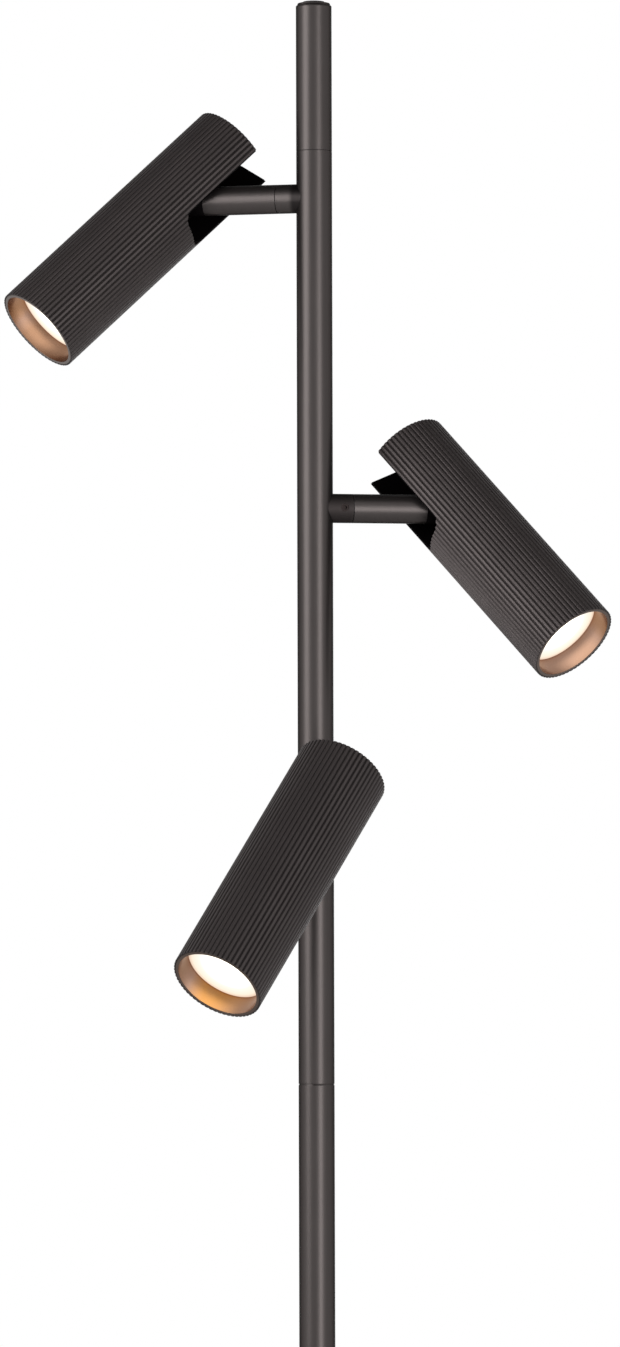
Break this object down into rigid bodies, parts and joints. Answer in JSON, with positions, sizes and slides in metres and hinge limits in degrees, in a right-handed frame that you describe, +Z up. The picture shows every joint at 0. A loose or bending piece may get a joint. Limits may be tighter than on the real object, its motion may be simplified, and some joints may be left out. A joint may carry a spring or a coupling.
{
  "type": "reading floor lamp",
  "caption": "Slim floor lamp: a round foot and pole with short swivelling arms, each carrying a ribbed cylinder spotlight that tilts.",
  "frame": {"origin": "on the floor, on the axis of the pole", "axes": "+Z up along the pole; arm 3, at the front, points to -Y, arm 1 to -X and arm 2 to +X, both a little back"},
  "size_m": [0.3712, 0.3122, 1.5],
  "materials": {
    "pole_finish": "satin dark bronze lacquer",
    "foot_finish": "satin dark bronze lacquer",
    "shell_finish": "satin dark brown lacquer over lengthwise ribs",
    "black_moulding": "matt black moulding",
    "knuckle_finish": "matt black lacquer",
    "copper_trim": "copper-coloured, polished",
    "plain_steel": "zinc plated",
    "black_steel": "black oxide",
    "lamp_reflector": "white",
    "lamp_lens": "lit warm white diffuser",
    "holder_ceramic": "unglazed white",
    "cast_weight": "as cast",
    "foot_pad": "soft black foam rubber",
    "inlet_rubber": "black"
  },
  "bodies": {
    "root": {"base_pad": "foot_pad", "base_weight": "cast_weight", "base_cover": "foot_finish", "cable_grommet": "inlet_rubber", "base_flange": "foot_finish", "foot_plug": "plain_steel", "tie_rod": "plain_steel", "tie_nut": "plain_steel", "tie_washer": "plain_steel", "lower_tube": "pole_finish", "middle_tube": "pole_finish", "upper_tube": "pole_finish", "top_tube": "pole_finish", "top_cap": "pole_finish", "tube_couplers": "black_steel", "collar_1": "pole_finish", "collar_2": "pole_finish", "collar_3": "pole_finish", "arm_nipples": "plain_steel", "nipple_nuts": "plain_steel", "grub_screws": "black_steel"},
    "arm_1": {"arm_spigot_1": "plain_steel", "arm_tube_1": "pole_finish", "knuckle_1": "knuckle_finish", "friction_washers_1": "plain_steel"},
    "head_1": {"head_shell_1": "shell_finish", "rear_housing_1": "black_moulding", "hinge_screws_1": "black_steel", "holder_stem_1": "plain_steel", "lamp_holder_1": "holder_ceramic", "bulb_body_1": "lamp_reflector", "bulb_lens_1": "lamp_lens", "trim_ring_1": "copper_trim"},
    "arm_2": {"arm_spigot_2": "plain_steel", "arm_tube_2": "pole_finish", "knuckle_2": "knuckle_finish", "friction_washers_2": "plain_steel"},
    "head_2": {"head_shell_2": "shell_finish", "rear_housing_2": "black_moulding", "hinge_screws_2": "black_steel", "holder_stem_2": "plain_steel", "lamp_holder_2": "holder_ceramic", "bulb_body_2": "lamp_reflector", "bulb_lens_2": "lamp_lens", "trim_ring_2": "copper_trim"},
    "arm_3": {"arm_spigot_3": "plain_steel", "arm_tube_3": "pole_finish", "knuckle_3": "knuckle_finish", "friction_washers_3": "plain_steel"},
    "head_3": {"head_shell_3": "shell_finish", "rear_housing_3": "black_moulding", "hinge_screws_3": "black_steel", "holder_stem_3": "plain_steel", "lamp_holder_3": "holder_ceramic", "bulb_body_3": "lamp_reflector", "bulb_lens_3": "lamp_lens", "trim_ring_3": "copper_trim"}
  },
  "joints": [
    {"name": "arm_1_swivel", "type": "hinge", "parent": "root", "child": "arm_1", "pos_m": [0, 0, 1.3785], "axis": [-0.9882, 0.153, 0], "range_deg": [-189.2, 120.8]},
    {"name": "head_1_tilt", "type": "hinge", "parent": "arm_1", "child": "head_1", "pos_m": [-0.08686, 0.01345, 1.3785], "axis": [-0.1265, -0.8173, 0.5621], "range_deg": [-53.8, 36.2]},
    {"name": "arm_2_swivel", "type": "hinge", "parent": "root", "child": "arm_2", "pos_m": [0, 0, 1.1876], "axis": [0.965, 0.2622, 0], "range_deg": [-117, 193]},
    {"name": "head_2_tilt", "type": "hinge", "parent": "arm_2", "child": "head_2", "pos_m": [0.08482, 0.02305, 1.1876], "axis": [-0.2066, 0.7604, -0.6157], "range_deg": [-61.4, 28.6]},
    {"name": "arm_3_swivel", "type": "hinge", "parent": "root", "child": "arm_3", "pos_m": [0, 0, 0.9846], "axis": [0, -1, 0], "range_deg": [-127.4, 182.6]},
    {"name": "head_3_tilt", "type": "hinge", "parent": "arm_3", "child": "head_3", "pos_m": [0, -0.0879, 0.9846], "axis": [0.8862, 0, -0.4633], "range_deg": [-55.9, 34.1]}
  ]
}
